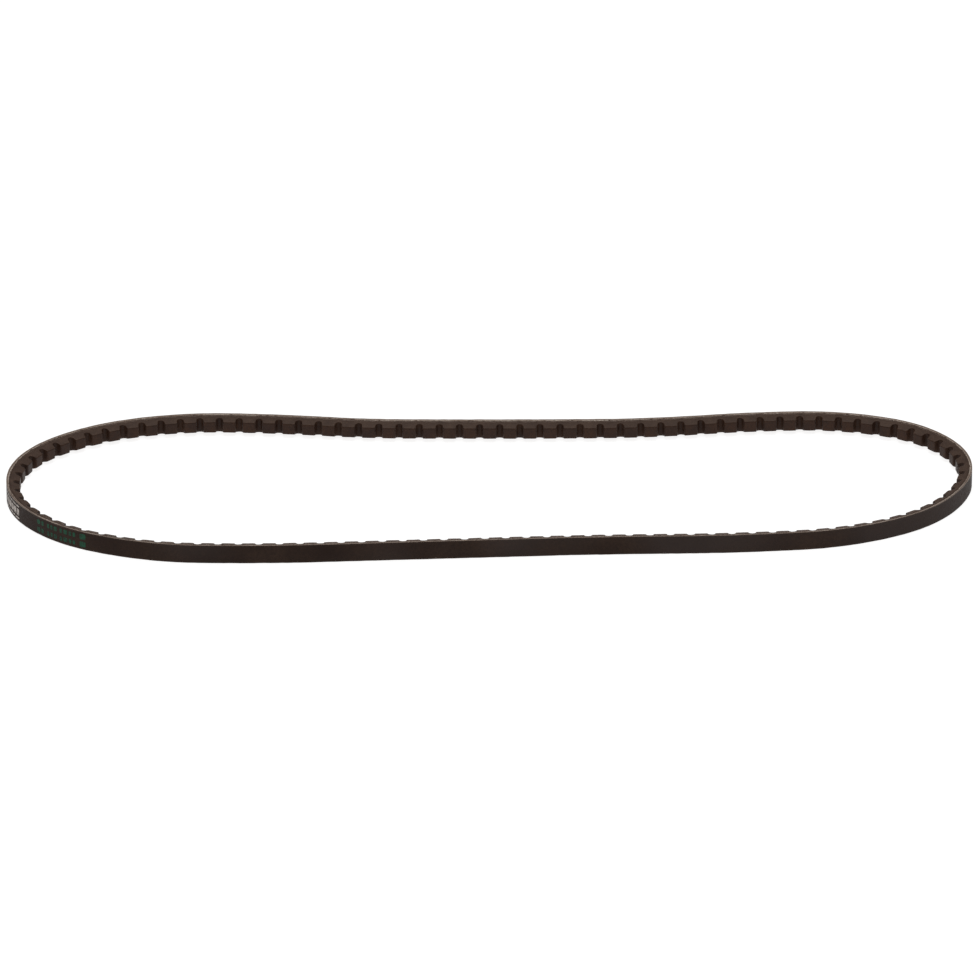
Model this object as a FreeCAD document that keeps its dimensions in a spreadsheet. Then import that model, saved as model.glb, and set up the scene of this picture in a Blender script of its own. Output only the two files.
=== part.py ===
"""Raw-edge cogged V belt, lying on its side as one endless loop.

The belt stands on the edge of one flank with its back vertical and facing outwards, and its
cogs face into the loop.  +X runs along the loop, +Z is up, and the origin is under the middle
of the loop, on the surface that the belt lies on.  Depths are measured from the back inwards.
"""
import FreeCAD, Part
import math
import os
import Sketcher
from FreeCAD import Placement, Rotation, Vector

doc = FreeCAD.newDocument("cogged_v_belt")


# ---------------------------------------------------------------- driving dimensions

SIZES = (
    # the loop as it lies, measured over the back of the belt
    ("loop_length", 498.0),
    ("loop_width", 159.5),
    # the belt's section
    ("belt_width", 10.0),
    ("belt_height", 7.0),
    ("flank_angle", 16.0),
    # what the section is built up from, starting at the back: two plies of fabric, the rubber
    # over the cord, the cord, and the rubber that it is bedded on
    ("outer_ply", 0.30),
    ("inner_ply", 0.20),
    ("cord_cover", 0.10),
    ("cord_diameter", 0.80),
    ("cord_bed", 0.40),
    # the laps of the cord lie side by side; the inset of the outer two is from their flank
    ("cord_laps", 8),
    ("cord_inset", 0.25),
    ("cord_clearance", 0.02),
    # the grooves that leave the cogs standing on the inner face
    ("cog_pitch", 10.45),
    ("groove_depth", 3.3),
    ("groove_root_radius", 1.8),
    ("groove_wall_slope", 8.0),
    ("cog_edge_radius", 0.7),
    ("cog_edge_dip", 0.12),
    # the films transferred to the back: a label and two rows of marks
    ("film_thickness", 0.08),
    ("label_length", 20.0),
    ("label_height", 8.4),
    ("label_place", 834.0),
    ("marks_length", 32.0),
    ("marks_height", 3.2),
    ("marks_spacing", 4.3),
    ("marks_place", 792.0),
    # how far a cutter reaches past the surface that it cuts
    ("overrun", 1.0),
)

sheet = doc.addObject("Spreadsheet::Sheet", "Sizes")
for row, (alias, number) in enumerate(SIZES, start=1):
    sheet.set(f"A{row}", alias)
    sheet.set(f"B{row}", str(number))
    sheet.setAlias(f"B{row}", alias)
doc.recompute()


def size(alias):
    """The number that the sheet holds under this alias."""
    return float(sheet.get(alias))


# Depths below the back where one layer ends and the next begins, as expressions.
PLY_LINE = "Sizes.outer_ply"
COVER_LINE = "(Sizes.outer_ply + Sizes.inner_ply)"
CORD_LINE = f"({COVER_LINE} + Sizes.cord_cover + Sizes.cord_diameter / 2)"
RUBBER_LINE = f"({CORD_LINE} + Sizes.cord_diameter / 2 + Sizes.cord_bed)"

# The belt's route is drawn where the hard rubber begins, and the cogs keep an even pitch
# along it.
ROUTE_LINE = RUBBER_LINE
ROUTE_DEPTH = float(sheet.evalExpression(ROUTE_LINE))
LAPS = list(range(1, int(size("cord_laps")) + 1))

# A piece of the route that curves less than this, in 1/mm, is a straight run.
STRAIGHT = 1e-9


# ---------------------------------------------------------------- the belt's route

# The straight run in the near strand: x and y at its two ends, as shares of half the loop's
# length and width.
RUN_START = (0.100, -0.891)
RUN_END = (-0.350, -0.981)
RUN_HEADING = math.degrees(math.atan2(RUN_END[1] - RUN_START[1], RUN_END[0] - RUN_START[0]))

# Stations of the route seen from above, followed clockwise from the middle of the far strand:
# x and y as shares again, and the heading in degrees in that unit square.  Between two
# stations run two arcs that meet smoothly, or the straight run.
ROUTE = (
    (0.000, 0.874, 0.0),
    (0.445, 0.939, 25.5),
    (0.841, 0.900, -50.5),
    (0.991, -0.013, -95.5),
    (0.647, -0.797, -159.0),
    (*RUN_START, RUN_HEADING),
    (*RUN_END, RUN_HEADING),
    (-0.833, -0.798, 121.5),
    (-0.999, 0.038, 89.0),
    (-0.764, 0.875, 46.5),
    (-0.340, 0.913, -22.5),
)


def direction(angle):
    return Vector(math.cos(angle), math.sin(angle), 0)


def left_of(heading):
    """The unit vector to the left of a heading, which is outwards all round the loop."""
    return Vector(-heading.y, heading.x, 0)


def stations():
    """The stations in millimetres: a point and a unit heading for each."""
    half_x = size("loop_length") / 2 - ROUTE_DEPTH
    half_y = size("loop_width") / 2 - ROUTE_DEPTH
    placed = []
    for share_x, share_y, angle in ROUTE:
        turn = math.radians(angle)
        heading = Vector(half_x * math.cos(turn), half_y * math.sin(turn), 0).normalize()
        placed.append((Vector(half_x * share_x, half_y * share_y, 0), heading))
    return placed


def meeting_point(start, start_heading, end, end_heading):
    """Where the two arcs between a pair of stations meet, for tangents of equal length."""
    chord = end - start
    turn = 2 * (1 - start_heading.dot(end_heading))
    advance = 2 * chord.dot(start_heading + end_heading)
    tangent = 2 * chord.dot(chord) / (advance + math.sqrt(advance**2 + 4 * turn * chord.dot(chord)))
    return (start + end + (start_heading - end_heading) * tangent) / 2


class RoutePiece:
    """An arc or a straight run, beginning at a distance along the route."""

    def __init__(self, start, heading, end, distance):
        chord = end - start
        sagging = 2 * chord.dot(left_of(heading)) / chord.dot(chord)
        self.start = start
        self.distance = distance
        self.angle = math.atan2(heading.y, heading.x)
        self.curvature = sagging if abs(sagging) > STRAIGHT else 0.0
        self.length = chord.Length
        if self.curvature:
            self.length = 2 * math.asin(sagging * chord.Length / 2) / sagging

    def heading(self, along):
        return direction(self.angle + self.curvature * along)

    def point(self, along, depth):
        """The point at this length along the piece and this depth below the belt's back."""
        half_turn = self.curvature * along / 2
        chord = along * math.sin(half_turn) / half_turn if half_turn else along
        outwards = left_of(self.heading(along)) * (ROUTE_DEPTH - depth)
        return self.start + self.heading(along / 2) * chord + outwards

    def draw(self, depth, begin, end):
        """The stretch of the piece between two lengths along it, drawn at a depth."""
        first = self.point(begin, depth)
        last = self.point(end, depth)
        if self.curvature:
            return Part.Arc(first, self.point((begin + end) / 2, depth), last)
        return Part.LineSegment(first, last)


def route_pieces():
    placed = stations()
    pieces = []
    distance = 0.0
    for index, (start, start_heading) in enumerate(placed):
        end, end_heading = placed[(index + 1) % len(placed)]
        first = RoutePiece(start, start_heading, end, distance)
        if first.curvature:
            middle = meeting_point(start, start_heading, end, end_heading)
            first = RoutePiece(start, start_heading, middle, distance)
            second = RoutePiece(middle, first.heading(first.length), end, distance + first.length)
            pieces += [first, second]
        else:
            pieces.append(first)
        distance = pieces[-1].distance + pieces[-1].length
    return pieces


PIECES = route_pieces()
ROUTE_LENGTH = PIECES[-1].distance + PIECES[-1].length
COG_COUNT = round(ROUTE_LENGTH / size("cog_pitch"))


def draw_route(depth, begin=0.0, end=ROUTE_LENGTH):
    """The route between two distances along it, drawn at a depth."""
    drawn = []
    for piece in PIECES:
        low = max(begin - piece.distance, 0.0)
        high = min(end - piece.distance, piece.length)
        if high > low:
            drawn.append(piece.draw(depth, low, high))
    return drawn


def on_route(distance, depth):
    """The point at a distance along the route and a depth, and the heading there."""
    piece = [candidate for candidate in PIECES if candidate.distance <= distance][-1]
    along = distance - piece.distance
    return piece.point(along, depth), piece.heading(along)


outline_box = Part.Wire([line.toShape() for line in draw_route(0)]).BoundBox
CENTRED = Placement(-outline_box.Center, Rotation())


# ---------------------------------------------------------------- sketches and sweeps

# Where the belt's back crosses the YZ plane in the far strand, as an expression.
FAR_BACK = f"((Sizes.loop_width / 2 - {ROUTE_LINE}) * {ROUTE[0][1]} + {ROUTE_LINE})"


def lower_flank(depth):
    """Height of the flank that the belt lies on, at a depth."""
    return f"({depth}) * tan(Sizes.flank_angle * 1deg)"


def upper_flank(depth):
    return f"Sizes.belt_width - ({depth}) * tan(Sizes.flank_angle * 1deg)"


def new_body(name):
    body = doc.addObject("PartDesign::Body", name)
    body.Label = name
    body.Placement = CENTRED
    return body


def new_sketch(body, name, role):
    """A sketch on the body's own XY or YZ plane."""
    plane = next(feature for feature in body.Origin.OriginFeatures if feature.Role == role)
    sketch = body.newObject("Sketcher::SketchObject", f"{body.Name}_{name}")
    sketch.AttachmentSupport = [(plane, "")]
    sketch.MapMode = "FlatFace"
    return sketch


def hold(sketch, kind, geometry, vertex, expression):
    """Hold a point of the sketch at a distance from its origin that is an expression."""
    value = float(sketch.evalExpression(expression))
    constraint = sketch.addConstraint(Sketcher.Constraint(kind, -1, 1, geometry, vertex, value))
    sketch.setExpression(f"Constraints[{constraint}]", expression)


def tie(sketch, geometry, vertex, x, y):
    hold(sketch, "DistanceX", geometry, vertex, x)
    hold(sketch, "DistanceY", geometry, vertex, y)


def located(sketch, x, y):
    return Vector(sketch.evalExpression(x), sketch.evalExpression(y), 0)


def anticlockwise_arc(centre, first, last):
    """The arc about a centre that turns anticlockwise from one point to another."""
    circle_through = Part.Circle(centre, Vector(0, 0, 1), (first - centre).Length)
    angles = [math.atan2(point.y - centre.y, point.x - centre.x) for point in (first, last)]
    return Part.ArcOfCircle(circle_through, *angles)


def outline(sketch, corners, centres=None):
    """A closed outline whose corners are pairs of expressions.  Its edges are lines, except
    those that have a centre: they turn anticlockwise about it, and each centre is listed under
    the number of the corner where its arc begins."""
    centres = centres or {}
    points = [located(sketch, x, y) for x, y in corners]
    following = list(range(1, len(points))) + [0]
    for index, point in enumerate(points):
        edge = Part.LineSegment(point, points[following[index]])
        if index in centres:
            centre = located(sketch, *centres[index])
            edge = anticlockwise_arc(centre, point, points[following[index]])
        sketch.addGeometry(edge, False)
    for index in range(len(points)):
        sketch.addConstraint(Sketcher.Constraint("Coincident", index, 2, following[index], 1))
    for index, (x, y) in enumerate(corners):
        tie(sketch, index, 1, x, y)
    for index, (x, _) in centres.items():
        hold(sketch, "DistanceX", index, 3, x)


def circle(sketch, x, y, radius):
    centre = located(sketch, x, y)
    span = float(sketch.evalExpression(radius))
    geometry = sketch.addGeometry(Part.Circle(centre, Vector(0, 0, 1), span), False)
    tie(sketch, geometry, 3, x, y)
    constraint = sketch.addConstraint(Sketcher.Constraint("Radius", geometry, span))
    sketch.setExpression(f"Constraints[{constraint}]", radius)


def ring_body(name):
    """A body that holds the closed route, ready for sections to be swept round it."""
    body = new_body(name)
    route = new_sketch(body, "route", "XY_Plane")
    route.addGeometry(draw_route(ROUTE_DEPTH), False)
    return body, route


def sweep(body, section, route):
    """Sweep a section round the whole route."""
    doc.recompute()
    feature = body.newObject("PartDesign::AdditivePipe", f"{section.Name}_sweep")
    feature.Profile = section
    feature.Spine = (route, [f"Edge{number}" for number in range(1, len(PIECES) + 1)])
    doc.recompute()


def layer(name, outside, inside):
    """A layer of the section between two depths, from flank to flank, round the whole loop."""
    body, route = ring_body(name)
    section = new_sketch(body, "section", "YZ_Plane")
    outline(section, (
        (f"{FAR_BACK} - ({outside})", lower_flank(outside)),
        (f"{FAR_BACK} - ({inside})", lower_flank(inside)),
        (f"{FAR_BACK} - ({inside})", upper_flank(inside)),
        (f"{FAR_BACK} - ({outside})", upper_flank(outside)),
    ))
    sweep(body, section, route)
    return body


# ---------------------------------------------------------------- back fabric

def back_fabric():
    """Two plies of rubbered fabric that make the belt's back."""
    return [
        layer("back_fabric_outer_ply", "0", PLY_LINE),
        layer("back_fabric_inner_ply", PLY_LINE, COVER_LINE),
    ]


# ---------------------------------------------------------------- tensile cord

def lap_centre(number):
    """Centre of one lap of the cord in the section, as expressions: the laps are spread evenly
    from flank to flank."""
    first = f"({lower_flank(CORD_LINE)} + Sizes.cord_inset)"
    last = f"({upper_flank(CORD_LINE)} - Sizes.cord_inset)"
    share = f"({number} - 1) / (Sizes.cord_laps - 1)"
    return f"{FAR_BACK} - {CORD_LINE}", f"{first} + ({last} - {first}) * {share}"


def slice_end(number, radius, towards):
    """Where a circle about the centre of the first or last lap meets its flank.  Of the two
    places, towards is -1 for the one nearer the back and 1 for the one nearer the cogs."""
    x, y = lap_centre(number)
    side = -1 if number == LAPS[0] else 1
    inside = "(Sizes.cord_inset * cos(Sizes.flank_angle * 1deg))"
    half_slice = f"sqrt(({radius})^2 - {inside}^2)"
    lean = "sin(Sizes.flank_angle * 1deg)"
    rise = "cos(Sizes.flank_angle * 1deg)"
    deeper = f"({inside} * {lean} + {towards} * {half_slice} * {rise})"
    outwards = f"({inside} * {rise} - {towards} * {half_slice} * {lean})"
    return f"{x} - {deeper}", f"{y} + {side} * {outwards}"


def arc_corners(number, radius, first, last):
    """Corners at each quarter of the circle about a lap's centre, anticlockwise between two
    numbers of quarter turns from the side of the back.  Where a flank slices the circle, the
    arc begins or ends in the slice."""
    x, y = lap_centre(number)
    circle_points = (
        (f"{x} + ({radius})", y),
        (x, f"{y} + ({radius})"),
        (f"{x} - ({radius})", y),
        (x, f"{y} - ({radius})"),
    )
    corners = [circle_points[quarters % 4] for quarters in range(first, last + 1)]
    side = {LAPS[0]: -1, LAPS[-1]: 1}.get(number)
    if side and first % 4 == 2 - side:
        corners[0] = slice_end(number, radius, side)
    if side and last % 4 == 2 - side:
        corners[-1] = slice_end(number, radius, -side)
    return corners


def sliced_circle(section, number, radius):
    """The circle of the first or last lap, closed by the line in which the flank slices it."""
    first = -1 if number == LAPS[0] else 1
    corners = arc_corners(number, radius, first, first + 4)
    outline(section, corners, {index: lap_centre(number) for index in range(4)})


def tensile_cord():
    """The laps of the cord.  The first and last are sliced by the flanks and show there."""
    laps = []
    radius = "Sizes.cord_diameter / 2"
    for number in LAPS:
        body, route = ring_body(f"tensile_cord_lap_{number}")
        section = new_sketch(body, "section", "YZ_Plane")
        if number in (LAPS[0], LAPS[-1]):
            sliced_circle(section, number, radius)
        else:
            circle(section, *lap_centre(number), radius)
        sweep(body, section, route)
        laps.append(body)
    return laps


# ---------------------------------------------------------------- cushion rubber

def cushion(name, line, first):
    """A sheet of soft rubber between the cord line and another depth, with half of each lap's
    channel, drawn anticlockwise as two quarter turns from the first."""
    body, route = ring_body(name)
    radius = "Sizes.cord_diameter / 2 + Sizes.cord_clearance"
    above = first < 0
    corners = []
    centres = {}
    for number in LAPS if above else LAPS[::-1]:
        centres[len(corners)] = centres[len(corners) + 1] = lap_centre(number)
        corners += arc_corners(number, radius, first, first + 2)
    ends = [(f"{FAR_BACK} - {line}", flank(line)) for flank in (upper_flank, lower_flank)]
    corners += ends if above else ends[::-1]
    section = new_sketch(body, "section", "YZ_Plane")
    outline(section, corners, centres)
    sweep(body, section, route)
    return body


def cushion_rubber():
    return [
        cushion("cushion_rubber_above_cord", COVER_LINE, -1),
        cushion("cushion_rubber_below_cord", RUBBER_LINE, 1),
    ]


# ---------------------------------------------------------------- compression rubber

def groove(distance):
    """Outline of one groove between two cogs, seen from above: a round root, two sloping
    walls, and a rounded edge that dips just past the inner face, so that it always meets it."""
    face, heading = on_route(distance, size("belt_height"))
    root = size("groove_root_radius")
    edge = size("cog_edge_radius")
    slope = math.radians(size("groove_wall_slope"))
    root_height = size("groove_depth") - root
    edge_height = edge - size("cog_edge_dip")
    edge_place = (root + edge + (root_height - edge_height) * math.sin(slope)) / math.cos(slope)
    edge_middle = (math.radians(90) + slope) / 2

    def place(side, along, height):
        """A point at a length beside the groove's middle and a height above the inner face."""
        return face + heading * (side * along) + left_of(heading) * height

    def on_edge(side, angle):
        """A point on the rounded edge of one cog, at an angle from the way along the belt."""
        return place(side, edge_place - edge * math.cos(angle), edge_height - edge * math.sin(angle))

    def half(side):
        root_end = place(side, root * math.cos(slope), root_height + root * math.sin(slope))
        wall_end = on_edge(side, slope)
        bend = on_edge(side, edge_middle)
        edge_end = on_edge(side, math.radians(90))
        corner = place(side, edge_place, -size("overrun"))
        return root_end, wall_end, bend, edge_end, corner

    near = half(-1)
    far = half(1)
    pieces = [Part.Arc(near[0], place(0, 0, size("groove_depth")), far[0])]
    for root_end, wall_end, bend, edge_end, corner in (near, far):
        pieces.append(Part.LineSegment(root_end, wall_end))
        pieces.append(Part.Arc(wall_end, bend, edge_end))
        pieces.append(Part.LineSegment(edge_end, corner))
    pieces.append(Part.LineSegment(near[-1], far[-1]))
    return pieces


def compression_rubber():
    """The belt's body below the cord, with cogs at an even pitch right round the loop."""
    body = layer("cogged_compression_rubber", RUBBER_LINE, "Sizes.belt_height")
    grooves = new_sketch(body, "grooves", "XY_Plane")
    for number in range(COG_COUNT):
        grooves.addGeometry(groove((number + 0.5) * ROUTE_LENGTH / COG_COUNT), False)
    doc.recompute()
    pocket = body.newObject("PartDesign::Pocket", "grooves_cut")
    pocket.Profile = grooves
    pocket.Type = "ThroughAll"
    pocket.Reversed = True
    uncut = body.Shape.Volume
    doc.recompute()
    if body.Shape.Volume >= uncut:
        raise RuntimeError("the grooves cut nothing")
    return [body]


# ---------------------------------------------------------------- films on the back

def film(name, place, length, height, middle):
    """A thin film that follows the back: its place along the route is the film's centre."""
    begin = size(place) - size(length) / 2
    end = size(place) + size(length) / 2
    skin = draw_route(0, begin, end)
    face = draw_route(-size("film_thickness"), begin, end)
    body = new_body(name)
    plan = new_sketch(body, "plan", "XY_Plane")
    plan.setExpression("AttachmentOffset.Base.z", f"{middle} - Sizes.{height} / 2")
    plan.addGeometry(skin + face, False)
    plan.addGeometry(Part.LineSegment(skin[0].StartPoint, face[0].StartPoint), False)
    plan.addGeometry(Part.LineSegment(skin[-1].EndPoint, face[-1].EndPoint), False)
    doc.recompute()
    pad = body.newObject("PartDesign::Pad", f"{name}_pad")
    pad.Profile = plan
    pad.setExpression("Length", f"Sizes.{height}")
    doc.recompute()
    return body


def films():
    half_way = "Sizes.belt_width / 2"
    upper = f"{half_way} + Sizes.marks_spacing / 2"
    lower = f"{half_way} - Sizes.marks_spacing / 2"
    return [
        film("label_film", "label_place", "label_length", "label_height", half_way),
        film("upper_mark_film", "marks_place", "marks_length", "marks_height", upper),
        film("lower_mark_film", "marks_place", "marks_length", "marks_height", lower),
    ]


# ---------------------------------------------------------------- build, check and write

def check(nodes):
    for item in doc.Objects:
        if "Invalid" in item.State or "Error" in item.State:
            raise RuntimeError(f"{item.Name} failed: {item.State}")
    for body in nodes:
        if body.Shape.isNull() or not body.Shape.isValid() or len(body.Shape.Solids) != 1:
            raise RuntimeError(f"{body.Label} is not one valid solid")


nodes = back_fabric() + tensile_cord() + cushion_rubber() + compression_rubber() + films()
check(nodes)
os.makedirs("parts", exist_ok=True)
for body in nodes:
    body.Shape.exportStep(f"parts/{body.Label}.step")
    print(f"{body.Label}: {body.Shape.Volume:.1f} mm3")

smallest = min(1 / abs(piece.curvature) for piece in PIECES if piece.curvature)
print(f"{COG_COUNT} cogs at {ROUTE_LENGTH / COG_COUNT:.3f} mm, smallest bend {smallest:.1f} mm")
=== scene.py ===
# %% [markdown]
# # A cogged V belt
#
# This lesson dresses a raw-edge cogged V belt: an endless loop about half a metre long, lying
# on the edge of one flank.  A belt of this kind is built flat on a drum as a wide sleeve of
# fabric, soft rubber, wound cord and hard rubber, cured in a mould that presses the cogs, and
# then sliced into single belts.  The slicing leaves the flanks raw, so every layer shows there
# as a line.  The plain solids of the frame fix the size and the place of each layer.  Each
# layer that shows gets a finer mesh here, on the same route.

# %% The frame
import math

import bpy
import numpy as np
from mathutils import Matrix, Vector


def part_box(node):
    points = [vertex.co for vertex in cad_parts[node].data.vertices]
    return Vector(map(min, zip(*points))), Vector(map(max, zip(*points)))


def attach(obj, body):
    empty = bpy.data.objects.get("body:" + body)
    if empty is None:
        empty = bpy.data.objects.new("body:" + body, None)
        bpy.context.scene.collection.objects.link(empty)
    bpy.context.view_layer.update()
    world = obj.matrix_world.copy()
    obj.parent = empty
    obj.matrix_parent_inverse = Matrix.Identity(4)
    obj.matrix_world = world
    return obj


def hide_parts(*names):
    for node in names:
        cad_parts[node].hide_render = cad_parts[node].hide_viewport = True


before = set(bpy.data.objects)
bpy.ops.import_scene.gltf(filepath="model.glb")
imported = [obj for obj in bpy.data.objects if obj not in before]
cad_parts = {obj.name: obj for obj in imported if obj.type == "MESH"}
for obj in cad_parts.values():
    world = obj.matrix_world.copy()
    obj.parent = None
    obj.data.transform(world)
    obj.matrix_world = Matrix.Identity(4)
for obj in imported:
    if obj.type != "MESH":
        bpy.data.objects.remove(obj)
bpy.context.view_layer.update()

MM = 0.001
lowest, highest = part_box("back_fabric_outer_ply")
print("belt's box in mm:", [round(edge / MM, 1) for edge in (*lowest, *highest)])

# %% [markdown]
# ## The sizes of the section
#
# These are the designer's own sizes in millimetres.  Depth is measured from the back of the
# belt inwards, and height from the surface that the belt lies on.

# %% Sizes
LOOP_LENGTH = 498.0
LOOP_WIDTH = 159.5
BELT_WIDTH = 10.0
BELT_HEIGHT = 7.0
FLANK_SLOPE = math.tan(math.radians(16.0))
OUTER_PLY = 0.30
INNER_PLY = 0.20
CORD_COVER = 0.10
CORD_DIAMETER = 0.80
CORD_BED = 0.40
CORD_INSET = 0.25
COG_PITCH = 10.45
GROOVE_DEPTH = 3.3
GROOVE_ROOT_RADIUS = 1.8
GROOVE_WALL_SLOPE = math.radians(8.0)
COG_EDGE_RADIUS = 0.7

COVER_LINE = OUTER_PLY + INNER_PLY
CORD_LINE = COVER_LINE + CORD_COVER + CORD_DIAMETER / 2
RUBBER_LINE = CORD_LINE + CORD_DIAMETER / 2 + CORD_BED
ROUTE_LINE = RUBBER_LINE
print(f"cord line {CORD_LINE:.2f} mm, hard rubber from {RUBBER_LINE:.2f} mm below the back")

# %% [markdown]
# ## The route of the belt
#
# A loose belt takes an easy, slightly uneven curve.  The designer drew it as stations in a
# square of side two, each with a heading, stretched to the size of the loop, with two tangent
# arcs between each pair.  The route runs where the hard rubber begins.  The same few stations
# are drawn again here, because every finer mesh has to lie exactly where the plain solid lies.

# %% Route stations
RUN_START = (0.100, -0.891)
RUN_END = (-0.350, -0.981)
RUN_HEADING = math.degrees(math.atan2(RUN_END[1] - RUN_START[1], RUN_END[0] - RUN_START[0]))
ROUTE = (
    (0.000, 0.874, 0.0),
    (0.445, 0.939, 25.5),
    (0.841, 0.900, -50.5),
    (0.991, -0.013, -95.5),
    (0.647, -0.797, -159.0),
    (*RUN_START, RUN_HEADING),
    (*RUN_END, RUN_HEADING),
    (-0.833, -0.798, 121.5),
    (-0.999, 0.038, 89.0),
    (-0.764, 0.875, 46.5),
    (-0.340, 0.913, -22.5),
)
STRAIGHT = 1e-9


def direction(angle):
    return np.stack((np.cos(angle), np.sin(angle)), axis=-1)


def left_of(heading):
    """The side of a heading that faces out of the loop."""
    return np.stack((-heading[..., 1], heading[..., 0]), axis=-1)


def stations():
    half = np.array((LOOP_LENGTH, LOOP_WIDTH)) / 2 - ROUTE_LINE
    placed = []
    for share_x, share_y, angle in ROUTE:
        heading = half * direction(math.radians(angle))
        placed.append((half * (share_x, share_y), heading / np.linalg.norm(heading)))
    return placed


# %% Arcs between the stations
class RoutePiece:
    """One arc or straight run, beginning at a distance along the route."""

    def __init__(self, start, heading, end, distance):
        chord = end - start
        self.start = start
        self.distance = distance
        self.angle = math.atan2(heading[1], heading[0])
        self.curvature = 2 * float(chord @ left_of(heading)) / float(chord @ chord)
        self.length = float(np.linalg.norm(chord))
        if abs(self.curvature) > STRAIGHT:
            self.length = 2 * math.asin(self.curvature * self.length / 2) / self.curvature
        else:
            self.curvature = 0.0

    def point(self, along):
        half_turn = self.curvature * along / 2
        chord = along * np.sinc(half_turn / math.pi)
        return self.start + direction(self.angle + half_turn) * chord[..., None]


def meeting_point(start, start_heading, end, end_heading):
    """Where the two arcs between a pair of stations meet."""
    chord = end - start
    turn = 2 * (1 - start_heading @ end_heading)
    advance = 2 * chord @ (start_heading + end_heading)
    tangent = 2 * chord @ chord / (advance + math.sqrt(advance**2 + 4 * turn * (chord @ chord)))
    return (start + end + (start_heading - end_heading) * tangent) / 2


def route_pieces():
    placed = stations()
    pieces = []
    distance = 0.0
    for index, (start, start_heading) in enumerate(placed):
        end, end_heading = placed[(index + 1) % len(placed)]
        first = RoutePiece(start, start_heading, end, distance)
        pieces.append(first)
        if first.curvature:
            middle = meeting_point(start, start_heading, end, end_heading)
            first = RoutePiece(start, start_heading, middle, distance)
            turned = direction(first.angle + first.curvature * first.length)
            pieces[-1:] = [first, RoutePiece(middle, turned, end, distance + first.length)]
        distance = pieces[-1].distance + pieces[-1].length
    return pieces


PIECES = route_pieces()
ROUTE_LENGTH = PIECES[-1].distance + PIECES[-1].length
COG_COUNT = round(ROUTE_LENGTH / COG_PITCH)
print(f"route {ROUTE_LENGTH:.1f} mm, {COG_COUNT} cogs")

# %% Points on the route
def along_route(distances):
    """Points, headings and curvatures at distances along the route."""
    distances = np.mod(distances, ROUTE_LENGTH)
    starts = [piece.distance for piece in PIECES]
    chosen = np.searchsorted(starts, distances, side="right") - 1
    points = np.zeros((len(distances), 2))
    headings = np.zeros((len(distances), 2))
    curvatures = np.zeros(len(distances))
    for index, piece in enumerate(PIECES):
        here = chosen == index
        along = distances[here] - piece.distance
        points[here] = piece.point(along)
        headings[here] = direction(piece.angle + piece.curvature * along)
        curvatures[here] = piece.curvature
    return points, headings, curvatures


def find_shift():
    """The shift that puts the route's back outline where the frame's outer ply lies."""
    distances = np.linspace(0.0, ROUTE_LENGTH, 20000)
    points, headings, _ = along_route(distances)
    back = points + left_of(headings) * ROUTE_LINE
    drawn = (back.min(axis=0) + back.max(axis=0)) / 2
    placed = np.array([(lowest[axis] + highest[axis]) / 2 / MM for axis in (0, 1)])
    return placed - drawn


SHIFT = find_shift()
print("shift of the route in mm:", SHIFT.round(3))

# %% [markdown]
# ## Small helpers
#
# A cured and sliced belt is never perfectly even: the plies wander, and the knife leaves the
# flank a few hundredths of a millimetre in or out.  `wander` gives such a slow drift, which
# closes on itself round the loop.  `ring_mesh` turns a grid of section points into a closed
# ring, and gives it a UV map in metres, so that patterns can be set to real sizes.

# %% Helpers for meshes
def wander(distances, spacing, amount, seed):
    """A smooth drift along the loop: its hills are about this far apart and this high."""
    knots = max(4, round(ROUTE_LENGTH / spacing))
    heights = np.random.default_rng(seed).uniform(-amount, amount, knots)
    place = np.mod(distances, ROUTE_LENGTH) / ROUTE_LENGTH * knots
    first = np.floor(place).astype(int)
    share = (1 - np.cos((place - first) * math.pi)) / 2
    return heights[first % knots] * (1 - share) + heights[(first + 1) % knots] * share


def lower_flank(depth):
    return depth * FLANK_SLOPE


def upper_flank(depth):
    return BELT_WIDTH - depth * FLANK_SLOPE


def in_space(distances, depth, height):
    """Section points, one row for each distance, as points in space in metres."""
    points, headings, _ = along_route(distances)
    plan = points[:, None] + left_of(headings)[:, None] * (ROUTE_LINE - depth)[..., None]
    return np.concatenate((plan + SHIFT, height[..., None]), axis=-1) * MM


def ring_mesh(name, grid, pattern, materials, choice=None):
    """A closed ring from a grid of points: rows go round the loop, columns round the section."""
    rows, columns = grid.shape[:2]
    ring = np.arange(rows * columns).reshape(rows, columns)
    turned = np.roll(ring, -1, axis=0)
    quads = np.stack((ring, turned, np.roll(turned, -1, axis=1), np.roll(ring, -1, axis=1)), axis=-1)
    mesh = bpy.data.meshes.new(name)
    mesh.from_pydata(grid.reshape(-1, 3).tolist(), [], quads.reshape(-1, 4).tolist())
    closed = np.concatenate((pattern, pattern[:, :1] + pattern_step(pattern)), axis=1)
    across = np.concatenate((closed, closed[:1] + (ROUTE_LENGTH * MM, 0.0)), axis=0)
    corners = np.stack((across[:-1, :-1], across[1:, :-1], across[1:, 1:], across[:-1, 1:]), axis=-2)
    layer = mesh.uv_layers.new(name="belt")
    layer.data.foreach_set("uv", corners.reshape(-1).astype(np.float32))
    mesh.polygons.foreach_set("use_smooth", np.ones(rows * columns, bool))
    for material in materials:
        mesh.materials.append(material)
    if choice is not None:
        mesh.polygons.foreach_set("material_index", np.tile(choice, rows))
    mesh.validate()
    piece = bpy.data.objects.new(name, mesh)
    bpy.context.scene.collection.objects.link(piece)
    print(f"{name}: {len(mesh.vertices)} points")
    return piece


def pattern_step(pattern):
    """How far the pattern runs on from the last column to the first, taken as one column."""
    return (pattern[:, -1:] - pattern[:, -2:-1])


def pattern_of(distances, depth, height):
    """UV places in metres: the distance along the belt, and the way round the section."""
    steps = np.hypot(np.diff(depth, axis=1), np.diff(height, axis=1))
    round_section = np.concatenate((np.zeros((len(depth), 1)), np.cumsum(steps, axis=1)), axis=1)
    along = np.broadcast_to(distances[:, None], round_section.shape)
    return np.stack((along, round_section), axis=-1) * MM


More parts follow.
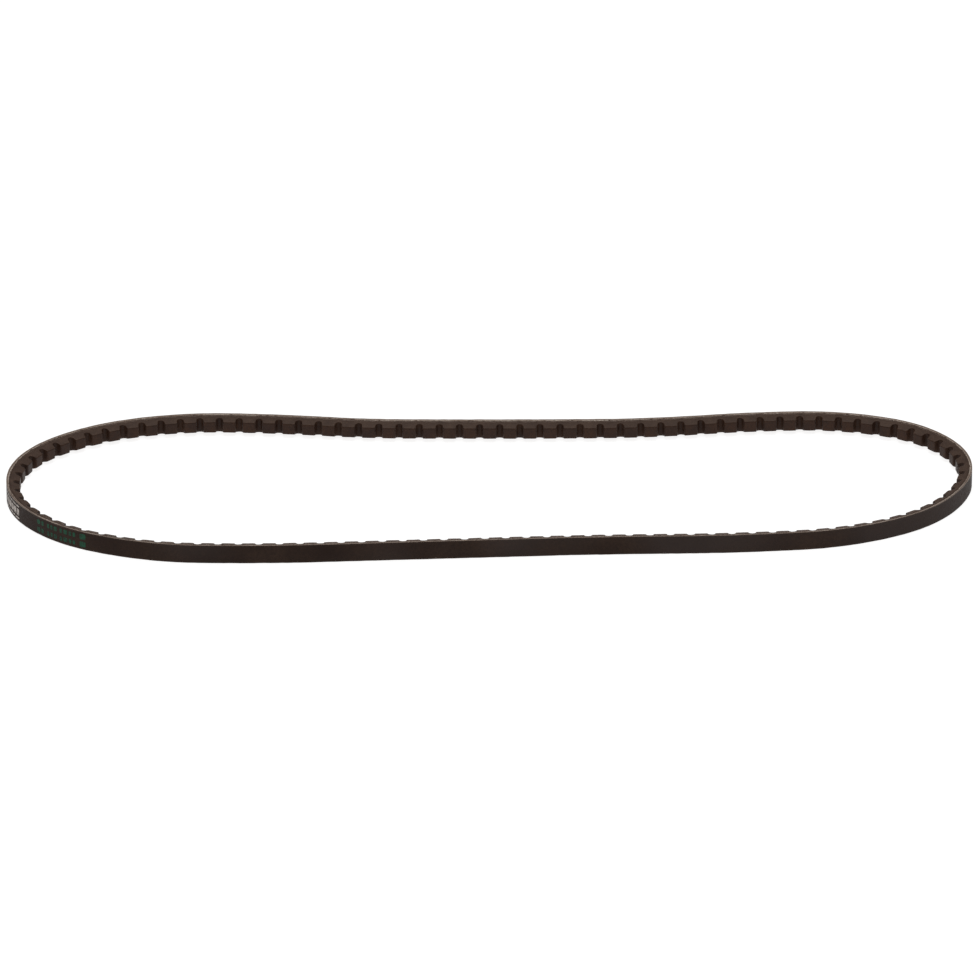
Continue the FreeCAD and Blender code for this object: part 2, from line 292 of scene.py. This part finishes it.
# %% [markdown]
# ## Colours and nodes
#
# Colours are written as sRGB hex values, as a paint chart gives them, and one function turns
# them to the linear values that the shader works in.  One more function adds a node, sets it
# and links it.

# %% Colours and nodes
def linear(hex_colour):
    """An sRGB hex colour as linear red, green, blue and alpha."""
    shares = [int(hex_colour[place:place + 2], 16) / 255 for place in (1, 3, 5)]
    return (*(s / 12.92 if s <= 0.04045 else ((s + 0.055) / 1.055) ** 2.4 for s in shares), 1.0)


def add(tree, kind, inputs=None, **settings):
    """A new node.  An input is a value, or the output socket that feeds it."""
    made = tree.nodes.new(kind)
    for name, value in settings.items():
        setattr(made, name, value)
    for name, value in (inputs or {}).items():
        if isinstance(value, bpy.types.NodeSocket):
            tree.links.new(value, made.inputs[name])
        else:
            made.inputs[name].default_value = value
    return made


def new_material(name):
    """An empty material, its node tree and its output node."""
    material = bpy.data.materials.new(name)
    material.use_nodes = True
    material.node_tree.nodes.clear()
    return material, material.node_tree, add(material.node_tree, "ShaderNodeOutputMaterial")


def per_mm(size):
    """Texture scale, in repeats for each metre, for a detail of this size in millimetres."""
    return 1 / (size * MM)


# %% [markdown]
# ## Rubbered canvas
#
# The back is cotton and polyester canvas, spread with rubber on both sides and cut on the bias,
# so its threads run at 45 degrees to the belt and stretch as it bends.  Curing presses the
# rubber through the weave: a dark, nearly matt skin with a faint diagonal grain and a grey
# bloom in patches.  Real threads are about 0.5 mm apart, too fine to show, so the weave is
# drawn at 0.8 mm.

# %% Rubbered canvas
THREAD = 0.8
CANVAS_DARK = "#23150e"
CANVAS_WORN = "#37281f"
CANVAS_BLOOM = "#39312f"
CANVAS_SHINE = 0.12


def rubbered_canvas():
    material, tree, output = new_material("rubbered_canvas")
    place = add(tree, "ShaderNodeUVMap", uv_map="belt")
    solid = add(tree, "ShaderNodeTexCoord")
    threads = []
    for turn in (45, -45):
        turned = add(tree, "ShaderNodeMapping", {
            "Vector": place.outputs["UV"],
            "Rotation": (0.0, 0.0, math.radians(turn)),
            "Scale": (per_mm(THREAD) / 20,) * 3,
        })
        threads.append(add(tree, "ShaderNodeTexWave", {
            "Vector": turned.outputs["Vector"],
            "Scale": math.tau,
            "Distortion": 0.6,
            "Detail": 1.0,
        }, bands_direction="X", wave_profile="SIN"))
    weave = add(tree, "ShaderNodeMath", {
        0: threads[0].outputs["Fac"],
        1: threads[1].outputs["Fac"],
    }, operation="MULTIPLY")
    bloom = add(tree, "ShaderNodeTexNoise", {
        "Vector": solid.outputs["Object"],
        "Scale": per_mm(22.0),
        "Detail": 3.0,
    })
    grime = add(tree, "ShaderNodeTexNoise", {
        "Vector": solid.outputs["Object"],
        "Scale": per_mm(1.6),
        "Detail": 4.0,
        "Roughness": 0.6,
    })
    worn = add(tree, "ShaderNodeMath", {
        0: bloom.outputs["Fac"],
        1: grime.outputs["Fac"],
    }, operation="MULTIPLY")
    spread = add(tree, "ShaderNodeMapRange", {
        "Value": worn.outputs["Value"],
        "From Min": 0.12,
        "From Max": 0.45,
    })
    colour = add(tree, "ShaderNodeMix", {
        "Factor": spread.outputs["Result"],
        6: linear(CANVAS_DARK),
        7: linear(CANVAS_WORN),
    }, data_type="RGBA")
    clouds = add(tree, "ShaderNodeTexNoise", {
        "Vector": solid.outputs["Object"],
        "Scale": per_mm(75.0),
        "Detail": 1.0,
    })
    bloomed = add(tree, "ShaderNodeMapRange", {
        "Value": clouds.outputs["Fac"],
        "From Min": 0.46,
        "From Max": 0.62,
        "To Max": 0.5,
    })
    clouded = add(tree, "ShaderNodeMix", {
        "Factor": bloomed.outputs["Result"],
        6: colour.outputs[2],
        7: linear(CANVAS_BLOOM),
    }, data_type="RGBA")
    rough = add(tree, "ShaderNodeMapRange", {
        "Value": grime.outputs["Fac"],
        "From Min": 0.3,
        "From Max": 0.7,
        "To Min": 0.52,
        "To Max": 0.68,
    })
    height = add(tree, "ShaderNodeMath", {
        0: weave.outputs["Value"],
        1: grime.outputs["Fac"],
    }, operation="ADD")
    bump = add(tree, "ShaderNodeBump", {
        "Height": height.outputs["Value"],
        "Strength": 0.5,
        "Distance": 0.06 * MM,
    })
    shader = add(tree, "ShaderNodeBsdfPrincipled", {
        "Base Color": clouded.outputs[2],
        "Roughness": rough.outputs["Result"],
        "Normal": bump.outputs["Normal"],
        "Specular IOR Level": CANVAS_SHINE,
    })
    tree.links.new(shader.outputs["BSDF"], output.inputs["Surface"])
    return material


CANVAS = rubbered_canvas()

# %% [markdown]
# ## Cut rubber
#
# The flanks are black-brown rubber filled with short fibres that lie across the belt.  A knife
# and a grinding wheel leave them dull, with fine scratches along the belt and the cut ends of
# the fibres as pale specks.  The specks are about 0.1 mm wide on the real belt and are drawn
# three times that.  The fibres also stand a little off the surface, and the sheen of the shader
# is what they do to the light at a low angle.  The gum layers and the threads of the canvas
# are cut by the same knife, so they share the finish in paler colours.  The cut canvas edge is
# paler still: besides its own pale threads, its colours hold a painted sheen, the brightness
# of the rim seen at a low angle.

# %% Cut rubber
FIBRE_END = 0.3
FIBRE_SPACING = 3 * FIBRE_END
GRINDING_STEP = 0.25


def cut_rubber(name, dark, pale):
    material, tree, output = new_material(name)
    place = add(tree, "ShaderNodeUVMap", uv_map="belt")
    solid = add(tree, "ShaderNodeTexCoord")
    stretched = add(tree, "ShaderNodeMapping", {
        "Vector": place.outputs["UV"],
        "Scale": (per_mm(GRINDING_STEP) / 12, per_mm(GRINDING_STEP), 1.0),
    })
    scratches = add(tree, "ShaderNodeTexNoise", {
        "Vector": stretched.outputs["Vector"],
        "Scale": 1.0,
        "Detail": 2.0,
    })
    ends = add(tree, "ShaderNodeTexVoronoi", {
        "Vector": solid.outputs["Object"],
        "Scale": per_mm(FIBRE_SPACING),
        "Randomness": 1.0,
    })
    speck = add(tree, "ShaderNodeMapRange", {
        "Value": ends.outputs["Distance"],
        "From Min": 0.12,
        "From Max": 0.34,
        "To Min": 1.0,
        "To Max": 0.0,
    })
    patches = add(tree, "ShaderNodeTexNoise", {
        "Vector": solid.outputs["Object"],
        "Scale": per_mm(6.0),
        "Detail": 3.0,
    })
    dust = add(tree, "ShaderNodeMath", {
        0: scratches.outputs["Fac"],
        1: patches.outputs["Fac"],
    }, operation="MULTIPLY")
    pale_share = add(tree, "ShaderNodeMath", {
        0: speck.outputs["Result"],
        1: 0.35,
        2: dust.outputs["Value"],
    }, operation="MULTIPLY_ADD")
    colour = add(tree, "ShaderNodeMix", {
        "Factor": pale_share.outputs["Value"],
        6: linear(dark),
        7: linear(pale),
    }, data_type="RGBA")
    height = add(tree, "ShaderNodeMath", {
        0: scratches.outputs["Fac"],
        1: speck.outputs["Result"],
    }, operation="ADD")
    bump = add(tree, "ShaderNodeBump", {
        "Height": height.outputs["Value"],
        "Strength": 0.6,
        "Distance": 0.05 * MM,
    })
    shader = add(tree, "ShaderNodeBsdfPrincipled", {
        "Base Color": colour.outputs[2],
        "Roughness": 0.6,
        "Normal": bump.outputs["Normal"],
        "Specular IOR Level": 0.3,
        "Sheen Weight": 1.0,
        "Sheen Roughness": 0.2,
        "Sheen Tint": linear("#e6cfc0"),
    })
    tree.links.new(shader.outputs["BSDF"], output.inputs["Surface"])
    return material


CUT_RUBBER = cut_rubber("cut_fibre_filled_rubber", "#352117", "#705746")
GUM_RUBBER = cut_rubber("cut_gum_rubber", "#5a483c", "#9a8576")
# The cut canvas edge colours are pale threads plus a painted sheen for the rim seen at a low angle.
CUT_CANVAS_AND_PAINTED_SHEEN = cut_rubber("cut_canvas_edge_painted_sheen", "#8c796c", "#c8b6a9")

# %% [markdown]
# ## Moulded rubber
#
# The cog faces took their skin from the mould: smoother than the cut flanks, a warm near-black,
# with a slight grain and dull patches where the release agent sat.

# %% Moulded rubber
def moulded_rubber():
    material, tree, output = new_material("moulded_rubber")
    solid = add(tree, "ShaderNodeTexCoord")
    grain = add(tree, "ShaderNodeTexNoise", {
        "Vector": solid.outputs["Object"],
        "Scale": per_mm(0.9),
        "Detail": 3.0,
    })
    release = add(tree, "ShaderNodeTexNoise", {
        "Vector": solid.outputs["Object"],
        "Scale": per_mm(9.0),
        "Detail": 2.0,
    })
    dull = add(tree, "ShaderNodeMath", {
        0: grain.outputs["Fac"],
        1: release.outputs["Fac"],
    }, operation="MULTIPLY")
    spread = add(tree, "ShaderNodeMapRange", {
        "Value": dull.outputs["Value"],
        "From Min": 0.12,
        "From Max": 0.42,
    })
    colour = add(tree, "ShaderNodeMix", {
        "Factor": spread.outputs["Result"],
        6: linear("#2a170e"),
        7: linear("#3f281a"),
    }, data_type="RGBA")
    rough = add(tree, "ShaderNodeMapRange", {
        "Value": spread.outputs["Result"],
        "To Min": 0.5,
        "To Max": 0.66,
    })
    bump = add(tree, "ShaderNodeBump", {
        "Height": grain.outputs["Fac"],
        "Strength": 0.5,
        "Distance": 0.05 * MM,
    })
    shader = add(tree, "ShaderNodeBsdfPrincipled", {
        "Base Color": colour.outputs[2],
        "Roughness": rough.outputs["Result"],
        "Normal": bump.outputs["Normal"],
        "Specular IOR Level": 0.2,
        "Sheen Weight": 0.25,
        "Sheen Roughness": 0.25,
        "Sheen Tint": linear("#dcd8d4"),
    })
    tree.links.new(shader.outputs["BSDF"], output.inputs["Surface"])
    return material


MOULDED_RUBBER = moulded_rubber()

# %% [markdown]
# ## Polyester cord
#
# The load is carried by pale polyester cord, twisted from three strands and dipped so that the
# rubber grips it.  Where the knife sliced the outer laps, the cut strands show on the flank as
# a pale, slightly furry line.

# %% Polyester cord
STRAND_TWIST = 3.2


def polyester_cord(name, bright, dipped):
    material, tree, output = new_material(name)
    solid = add(tree, "ShaderNodeTexCoord")
    fluff = add(tree, "ShaderNodeTexNoise", {
        "Vector": solid.outputs["Object"],
        "Scale": per_mm(0.7),
        "Detail": 3.0,
    })
    stain = add(tree, "ShaderNodeTexNoise", {
        "Vector": solid.outputs["Object"],
        "Scale": per_mm(14.0),
        "Detail": 2.0,
    })
    mixed = add(tree, "ShaderNodeMath", {
        0: fluff.outputs["Fac"],
        1: stain.outputs["Fac"],
    }, operation="MULTIPLY")
    spread = add(tree, "ShaderNodeMapRange", {
        "Value": mixed.outputs["Value"],
        "From Min": 0.14,
        "From Max": 0.40,
    })
    colour = add(tree, "ShaderNodeMix", {
        "Factor": spread.outputs["Result"],
        6: linear(dipped),
        7: linear(bright),
    }, data_type="RGBA")
    bump = add(tree, "ShaderNodeBump", {
        "Height": fluff.outputs["Fac"],
        "Strength": 0.8,
        "Distance": 0.08 * MM,
    })
    shader = add(tree, "ShaderNodeBsdfPrincipled", {
        "Base Color": colour.outputs[2],
        "Roughness": 0.85,
        "Normal": bump.outputs["Normal"],
        "Sheen Weight": 0.2,
    })
    tree.links.new(shader.outputs["BSDF"], output.inputs["Surface"])
    return material


CUT_CORD = polyester_cord("cut_polyester_cord", "#d8cabc", "#8b7565")
DIPPED_CORD = polyester_cord("dipped_polyester_cord", "#a8958a", "#6c574c")

# %% [markdown]
# ## Printing inks
#
# The label and the marks are inks transferred from a carrier while the belt cures.  They sink
# into the canvas, so they are thin, matt and patchy where the weave stands proud.

# %% Printing inks
def transfer_ink(name, full, thin):
    material, tree, output = new_material(name)
    solid = add(tree, "ShaderNodeTexCoord")
    wear = add(tree, "ShaderNodeTexNoise", {
        "Vector": solid.outputs["Object"],
        "Scale": per_mm(1.2),
        "Detail": 4.0,
        "Roughness": 0.65,
    })
    spread = add(tree, "ShaderNodeMapRange", {
        "Value": wear.outputs["Fac"],
        "From Min": 0.38,
        "From Max": 0.56,
    })
    colour = add(tree, "ShaderNodeMix", {
        "Factor": spread.outputs["Result"],
        6: linear(thin),
        7: linear(full),
    }, data_type="RGBA")
    bump = add(tree, "ShaderNodeBump", {
        "Height": wear.outputs["Fac"],
        "Strength": 0.4,
        "Distance": 0.03 * MM,
    })
    shader = add(tree, "ShaderNodeBsdfPrincipled", {
        "Base Color": colour.outputs[2],
        "Roughness": 0.6,
        "Normal": bump.outputs["Normal"],
        "Specular IOR Level": 0.15,
    })
    tree.links.new(shader.outputs["BSDF"], output.inputs["Surface"])
    return material


WHITE_INK = transfer_ink("white_transfer_ink", "#c4bbb4", "#756b65")
GREEN_INK = transfer_ink("green_transfer_ink", "#1d4c36", "#202f27")

# %% [markdown]
# ## The layers above the hard rubber
#
# Each layer is a slice of the trapezoid section between two depths.  Its corners are slightly
# rounded, and its cut ends stand a little in or out of the true flank, each in its own way, so
# that the layers read as separate lines on the flank.

# %% Layer sections
STATION_STEP = 1.0
BACK_ROWS = 14
RAW_EDGE = 0.05
RAW_SPACING = 3.0
CORNER = 0.07
CORNER_SHARES = np.array((0.0, 0.3, 1.0))
CORNER_POINTS = len(CORNER_SHARES)


def even_distances(step):
    return np.arange(round(ROUTE_LENGTH / step)) * ROUTE_LENGTH / round(ROUTE_LENGTH / step)


def layer_grid(distances, outside, inside, seed):
    """Section points of one layer, going up its outer side and down its inner side."""
    low_edge = wander(distances, RAW_SPACING, RAW_EDGE, seed)[:, None]
    high_edge = wander(distances, RAW_SPACING, RAW_EDGE, seed + 1)[:, None]
    outer = outside[:, None]
    inner = np.full_like(outer, inside)
    shares = np.linspace(0.0, 1.0, BACK_ROWS)
    corner = CORNER_SHARES * CORNER
    low = lower_flank(outer) + low_edge
    high = upper_flank(outer) + high_edge
    rows = low + CORNER + (high - low - 2 * CORNER) * shares
    outer_depths = np.concatenate((outer + corner[::-1], outer + 0 * rows, outer + corner), axis=1)
    outer_heights = np.concatenate((low + corner, rows, high - corner[::-1]), axis=1)
    low_inner = lower_flank(inner) + low_edge
    high_inner = upper_flank(inner) + high_edge
    inner_depths = np.concatenate((inner - corner[::-1], inner - corner), axis=1)
    inner_heights = np.concatenate((high_inner - corner, low_inner + corner[::-1]), axis=1)
    depth = np.concatenate((outer_depths, inner_depths), axis=1)
    height = np.concatenate((outer_heights, inner_heights), axis=1)
    return depth, height


def belt_layer(name, outside, inside, seed, face, cut_end):
    """One layer as a ring: its faces in one material and its cut ends in another."""
    distances = even_distances(STATION_STEP)
    depth, height = layer_grid(distances, outside(distances), inside, seed)
    grid = in_space(distances, depth, height)
    choice = np.zeros(depth.shape[1], int)
    choice[CORNER_POINTS + BACK_ROWS:-CORNER_POINTS - 1] = 1
    choice[-CORNER_POINTS:] = 1
    choice[:CORNER_POINTS - 1] = 1
    return ring_mesh(name, grid, pattern_of(distances, depth, height), [face, cut_end], choice)


# %% [markdown]
# ## The fabric back
#
# The outer ply is laid from strips of canvas whose ends overlap.  Each overlap makes a low step
# right across the belt, a few millimetres long, and the ply itself lies in very slight waves.

# %% Fabric plies
LAPS = ((510.0, 6.5), (866.0, 5.5), (1136.0, 6.0))
LAP_STEP = 0.09
LAP_EDGE = 0.8
PLY_WAVE_SPACING = 14.0
PLY_WAVE_HEIGHT = 0.04


def outer_ply_face(distances):
    """Depth of the belt's back: nearly zero, proud where the canvas overlaps."""
    face = wander(distances, PLY_WAVE_SPACING, PLY_WAVE_HEIGHT, 11)
    for place, length in LAPS:
        inside = length / 2 - np.abs(distances - place)
        face -= LAP_STEP * np.clip(inside / LAP_EDGE, 0.0, 1.0)
    return face


outer_ply = belt_layer("canvas_outer_ply", outer_ply_face, OUTER_PLY, 21, CANVAS, CUT_CANVAS_AND_PAINTED_SHEEN)
inner_ply = belt_layer(
    "canvas_inner_ply", lambda s: OUTER_PLY + 0 * s, COVER_LINE, 31, CANVAS, CUT_CANVAS_AND_PAINTED_SHEEN)
gum_above = belt_layer(
    "gum_over_cord", lambda s: COVER_LINE + 0 * s, CORD_LINE, 41, GUM_RUBBER, GUM_RUBBER)
gum_below = belt_layer(
    "gum_under_cord", lambda s: CORD_LINE + 0 * s, RUBBER_LINE, 51, GUM_RUBBER, CUT_RUBBER)
for piece, node, slot in (
    (outer_ply, "back_fabric_outer_ply", "back_fabric"),
    (inner_ply, "back_fabric_inner_ply", "back_fabric"),
    (gum_above, "cushion_rubber_above_cord", "cushion_rubber"),
    (gum_below, "cushion_rubber_below_cord", "cushion_rubber"),
):
    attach(piece, "root")
    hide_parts(node)

# %% [markdown]
# ## The sliced laps of cord
#
# The knife passes through the outer lap on each side.  Three twisted strands give the lap its
# rope-like outline, and what should stand beyond the flank is cut off just proud of it.

# %% Sliced cord
CORD_STEP = 0.4
CORD_SIDES = 14
STRAND_RISE = 0.05
CORD_PROUD = 0.06
RAGGED_SPACING = 1.2


def sliced_lap(name, flank, side, seed):
    """One outer lap: side is +1 for the upper flank and -1 for the lower."""
    distances = even_distances(CORD_STEP)
    centre = flank(CORD_LINE) - side * CORD_INSET
    angles = np.arange(CORD_SIDES) * math.tau / CORD_SIDES
    twist = distances[:, None] / STRAND_TWIST * math.tau
    radius = CORD_DIAMETER / 2 * (1 - STRAND_RISE) + STRAND_RISE * np.cos(3 * angles - twist)
    depth = CORD_LINE + radius * np.cos(angles)
    height = centre + side * radius * np.sin(angles)
    ragged = wander(distances, RAGGED_SPACING, CORD_PROUD, seed)[:, None]
    limit = flank(depth) + side * (CORD_PROUD + ragged)
    height = side * np.minimum(side * height, side * limit)
    if side < 0:
        depth, height = depth[:, ::-1], height[:, ::-1]
    grid = in_space(distances, depth, height)
    return ring_mesh(name, grid, pattern_of(distances, depth, height), [CUT_CORD])


upper_lap = sliced_lap("sliced_cord_upper", upper_flank, 1, 61)
lower_lap = sliced_lap("sliced_cord_lower", lower_flank, -1, 62)
for piece, node in ((lower_lap, "tensile_cord_lap_1"), (upper_lap, "tensile_cord_lap_8")):
    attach(piece, "root")
    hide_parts(node)
for name, cad_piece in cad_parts.items():
    if name.startswith("tensile_cord") and name not in ("tensile_cord_lap_1", "tensile_cord_lap_8"):
        cad_piece.data.materials.clear()
        cad_piece.data.materials.append(DIPPED_CORD)

# %% [markdown]
# ## The cogs
#
# The mould leaves a deep round-bottomed groove between each pair of cogs, so that the thick
# hard rubber can bend round a small pulley.  The outline of one groove is a root arc, two
# steep walls and two rounded edges.  It is worked out once and set down at every pitch, and the
# flanks are joined to it column by column, which keeps all the faces four-sided.

# %% Outline of one groove
ROOT_POINTS = 6
EDGE_POINTS = 5
LAND_COLUMNS = 5
FLANK_ROWS = 5
FACE_ROWS = 11
COG_CORNER = 0.35
COG_RAW_SPACING = 2.5


def groove_outline():
    """Half of a groove, from the middle of its root out to the cog's face: the distance from
    the groove's middle, and the height above the inner face."""
    slope = GROOVE_WALL_SLOPE
    root_height = GROOVE_DEPTH - GROOVE_ROOT_RADIUS
    wall_run = (root_height - COG_EDGE_RADIUS) * math.sin(slope)
    edge_place = (GROOVE_ROOT_RADIUS + COG_EDGE_RADIUS + wall_run) / math.cos(slope)
    root = np.linspace(math.pi / 2, slope, ROOT_POINTS)
    edge = np.linspace(math.pi + slope, math.pi * 1.5, EDGE_POINTS)
    beside = np.concatenate((
        GROOVE_ROOT_RADIUS * np.cos(root),
        edge_place + COG_EDGE_RADIUS * np.cos(edge),
    ))
    above = np.concatenate((
        root_height + GROOVE_ROOT_RADIUS * np.sin(root),
        COG_EDGE_RADIUS + COG_EDGE_RADIUS * np.sin(edge),
    ))
    return beside, above


def cog_columns():
    """For every column of the cogged rubber: its distance along the route, and the plan point
    and depth of the face."""
    beside, above = groove_outline()
    beside = np.concatenate((-beside[:0:-1], beside))
    above = np.concatenate((above[:0:-1], above))
    pitch = ROUTE_LENGTH / COG_COUNT
    middles = (np.arange(COG_COUNT) + 0.5) * pitch
    points, headings, curvatures = along_route(middles)
    outwards = left_of(headings)
    face = points + outwards * (ROUTE_LINE - BELT_HEIGHT)
    shrink = 1 + curvatures * (BELT_HEIGHT - ROUTE_LINE)
    places = middles[:, None] + beside / shrink[:, None]
    plan = face[:, None] + headings[:, None] * beside[:, None] + outwards[:, None] * above[:, None]
    depth = np.broadcast_to(BELT_HEIGHT - above, places.shape)
    gap = places[:, -1:]
    following = np.roll(places[:, :1], -1, axis=0)
    following[-1] += ROUTE_LENGTH
    shares = np.arange(1, LAND_COLUMNS + 1) / (LAND_COLUMNS + 1)
    land = gap + (following - gap) * shares
    land_points, land_headings, _ = along_route(land.reshape(-1))
    land_plan = land_points + left_of(land_headings) * (ROUTE_LINE - BELT_HEIGHT)
    land_plan = land_plan.reshape(COG_COUNT, LAND_COLUMNS, 2)
    places = np.concatenate((places, land), axis=1).reshape(-1)
    plan = np.concatenate((plan, land_plan), axis=1).reshape(-1, 2)
    depth = np.concatenate((depth, np.full(land.shape, BELT_HEIGHT)), axis=1).reshape(-1)
    return places, plan, depth


# %% The cogged rubber
def cogged_rubber():
    places, plan, face_depth = cog_columns()
    points, headings, _ = along_route(places)
    line_plan = points + left_of(headings) * (ROUTE_LINE - RUBBER_LINE)
    shares = np.linspace(0.0, 1.0, FLANK_ROWS)
    corner = COG_CORNER * np.array((1.0, 0.3, 0.0))
    face_shares = np.linspace(0.0, 1.0, FACE_ROWS)
    low_edge = wander(places, COG_RAW_SPACING, RAW_EDGE, 71)[:, None]
    high_edge = wander(places, COG_RAW_SPACING, RAW_EDGE, 72)[:, None]
    reach = face_depth[:, None] - RUBBER_LINE
    down = RUBBER_LINE + reach * shares * (1 - COG_CORNER / reach)
    near_edge = face_depth[:, None] - corner[1:]
    down = np.concatenate((down, near_edge), axis=1)
    inset = np.concatenate((np.zeros(FLANK_ROWS), COG_CORNER * np.array((0.3, 1.0))))
    high = upper_flank(down) + high_edge - inset
    low = lower_flank(down) + low_edge + inset
    span = high[:, -1:] - low[:, -1:]
    face_heights = high[:, -1:] - span * face_shares[1:-1]
    face_depths = face_depth[:, None] + 0 * face_heights
    depth = np.concatenate((down, face_depths, down[:, ::-1]), axis=1)
    height = np.concatenate((high, face_heights, low[:, ::-1]), axis=1)
    share = ((depth - RUBBER_LINE) / reach)[..., None]
    flat = line_plan[:, None] * (1 - share) + plan[:, None] * share
    grid = np.concatenate((flat + SHIFT, height[..., None]), axis=-1) * MM
    columns = depth.shape[1]
    choice = np.zeros(columns, int)
    choice[FLANK_ROWS:columns - FLANK_ROWS - 1] = 1
    pattern = pattern_of(places, depth, height)
    return ring_mesh("cogged_rubber", grid, pattern, [CUT_RUBBER, MOULDED_RUBBER], choice)


cogs = cogged_rubber()
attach(cogs, "root")
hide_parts("cogged_compression_rubber")

# %% [markdown]
# ## Label and marks
#
# The real print names a maker and a size.  Here plain bars of the same ink, in rows of the same
# height, stand for it.  Each bar follows the back of the belt and is a few hundredths of a
# millimetre thick.

# %% Printed bars
INK_THICKNESS = 0.05
INK_SINK = 0.03
BAR_STEP = 0.5
BAR_END = 0.8
BAR_TOP = 0.96


def printed_bars(name, bars, material):
    """Thin raised bars on the back: each is a place, a length, a middle height and a height."""
    vertices = []
    faces = []
    for place, length, middle, height in bars:
        count = max(3, round(length / BAR_STEP) + 1)
        ends = np.linspace(place - length / 2, place + length / 2, count)
        soft = np.ones(count)
        soft[0] = soft[-1] = BAR_END
        half = height / 2 * soft[:, None]
        skin = outer_ply_face(ends)[:, None]
        top = skin - INK_THICKNESS
        bottom = skin + INK_SINK
        depth = np.concatenate((bottom, top, top, bottom), axis=1)
        heights = middle + half * (-1, -BAR_TOP, BAR_TOP, 1)
        grid = in_space(ends, depth, heights)
        first = len(vertices)
        vertices += grid.reshape(-1, 3).tolist()
        for row in range(count - 1):
            for side in range(4):
                a = first + row * 4 + side
                b = first + row * 4 + (side + 1) % 4
                faces.append((a, a + 4, b + 4, b))
        faces.append(tuple(first + side for side in range(4)))
        faces.append(tuple(first + (count - 1) * 4 + side for side in (3, 2, 1, 0)))
    mesh = bpy.data.meshes.new(name)
    mesh.from_pydata(vertices, [], faces)
    mesh.materials.append(material)
    piece = bpy.data.objects.new(name, mesh)
    bpy.context.scene.collection.objects.link(piece)
    print(f"{name}: {len(bars)} bars")
    return piece


# %% Label bars
LABEL_PLACE = 834.0
LABEL_LENGTH = 20.0
HALF_WAY = BELT_WIDTH / 2


def row_of_bars(begin, lengths, gap, middle, height):
    bars = []
    for length in lengths:
        bars.append((begin + length / 2, length, middle, height))
        begin += length + gap
    return bars


label_begin = LABEL_PLACE - LABEL_LENGTH / 2
label_bars = row_of_bars(label_begin, (3.0, 4.5, 2.5, 3.5, 3.5), 0.7, HALF_WAY + 3.3, 0.9)
label_bars += row_of_bars(label_begin, (2.6,) * 6, 0.85, HALF_WAY, 3.6)
label_bars += row_of_bars(label_begin, (4.5, 2.5, 4.0, 2.5, 3.5), 0.7, HALF_WAY - 3.3, 0.9)
label = printed_bars("label_bars", label_bars, WHITE_INK)
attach(label, "root")
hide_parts("label_film")

# %% Mark bars
MARKS_PLACE = 792.0
MARKS_LENGTH = 32.0
MARKS_SPACING = 4.3
MARK_HEIGHT = 2.6
marks_begin = MARKS_PLACE - MARKS_LENGTH / 2
for node, side in (("upper_mark_film", 1), ("lower_mark_film", -1)):
    middle = HALF_WAY + side * MARKS_SPACING / 2
    bars = row_of_bars(marks_begin, (3.4,), 0.0, middle, 3.2)
    bars += row_of_bars(marks_begin + 6.0, (1.5, 1.5, 2.4, 1.5), 0.9, middle, MARK_HEIGHT)
    bars += row_of_bars(marks_begin + 17.4, (2.0, 1.4, 1.4), 0.9, middle, MARK_HEIGHT)
    bars += row_of_bars(marks_begin + 26.6, (1.6, 2.4), 0.9, middle, MARK_HEIGHT)
    marks = printed_bars(node.replace("film", "bars"), bars, GREEN_INK)
    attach(marks, "root")
    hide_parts(node)

# %% [markdown]
# ## Floor, light and camera
#
# The belt lies on a sheet of pale paper under one large soft light.  The paper gives off light
# of its own, as on a light table, so that the shadow under the belt is faint and light comes
# back up to its lower faces.  A long lens from well back, about 26 degrees above the floor,
# keeps the two strands nearly parallel.

# %% Floor
FLOOR_SIZE = 30.0


def pale_floor():
    material, tree, output = new_material("pale_paper")
    solid = add(tree, "ShaderNodeTexCoord")
    pulp = add(tree, "ShaderNodeTexNoise", {"Vector": solid.outputs["Object"], "Scale": per_mm(60.0)})
    colour = add(tree, "ShaderNodeMix", {
        "Factor": pulp.outputs["Fac"],
        6: linear("#a4a4a3"),
        7: linear("#a8a8a8"),
    }, data_type="RGBA")
    shader = add(tree, "ShaderNodeBsdfPrincipled", {
        "Base Color": colour.outputs[2],
        "Roughness": 0.9,
        "Specular IOR Level": 0.2,
        "Emission Color": linear("#fdfdfd"),
        "Emission Strength": 0.88,
    })
    tree.links.new(shader.outputs["BSDF"], output.inputs["Surface"])
    return material


bpy.ops.mesh.primitive_plane_add(size=FLOOR_SIZE)
floor = bpy.context.active_object
floor.name = "floor"
floor.data.materials.append(pale_floor())

# %% Light
LAMP_PLACE = Vector((0.0, 0.2, 2.6))
lamp = bpy.data.lights.new("overhead_softbox", "AREA")
lamp.shape = "DISK"
lamp.size = 2.4
lamp.energy = 26.0
softbox = bpy.data.objects.new("overhead_softbox", lamp)
softbox.location = LAMP_PLACE
softbox.rotation_euler = (-LAMP_PLACE).to_track_quat("-Z", "Y").to_euler()
bpy.context.scene.collection.objects.link(softbox)
print(f"{softbox.name}: {lamp.energy:.0f} W, {lamp.size:.1f} m wide")

# %% World
world = bpy.data.worlds.new("studio")
world.use_nodes = True
world.node_tree.nodes["Background"].inputs["Color"].default_value = linear("#fdfdfd")
world.node_tree.nodes["Background"].inputs["Strength"].default_value = 0.30
bpy.context.scene.world = world
bpy.context.scene.view_settings.view_transform = "Standard"

# %% Camera
AIM = Vector((-0.0005, 0.0069, 0.0))
ELEVATION = math.radians(25.82)
CAMERA_DISTANCE = 4.656
camera_data = bpy.data.cameras.new("camera")
camera_data.sensor_width = 36.0
camera_data.lens = 332.1
camera_data.clip_end = 100.0
camera = bpy.data.objects.new("camera", camera_data)
away = Vector((0.0, -math.cos(ELEVATION), math.sin(ELEVATION)))
camera.location = AIM + away * CAMERA_DISTANCE
camera.rotation_euler = (math.pi / 2 - ELEVATION, 0.0, 0.0)
bpy.context.scene.collection.objects.link(camera)
bpy.context.scene.camera = camera
print("camera at", [round(value, 3) for value in camera.location])
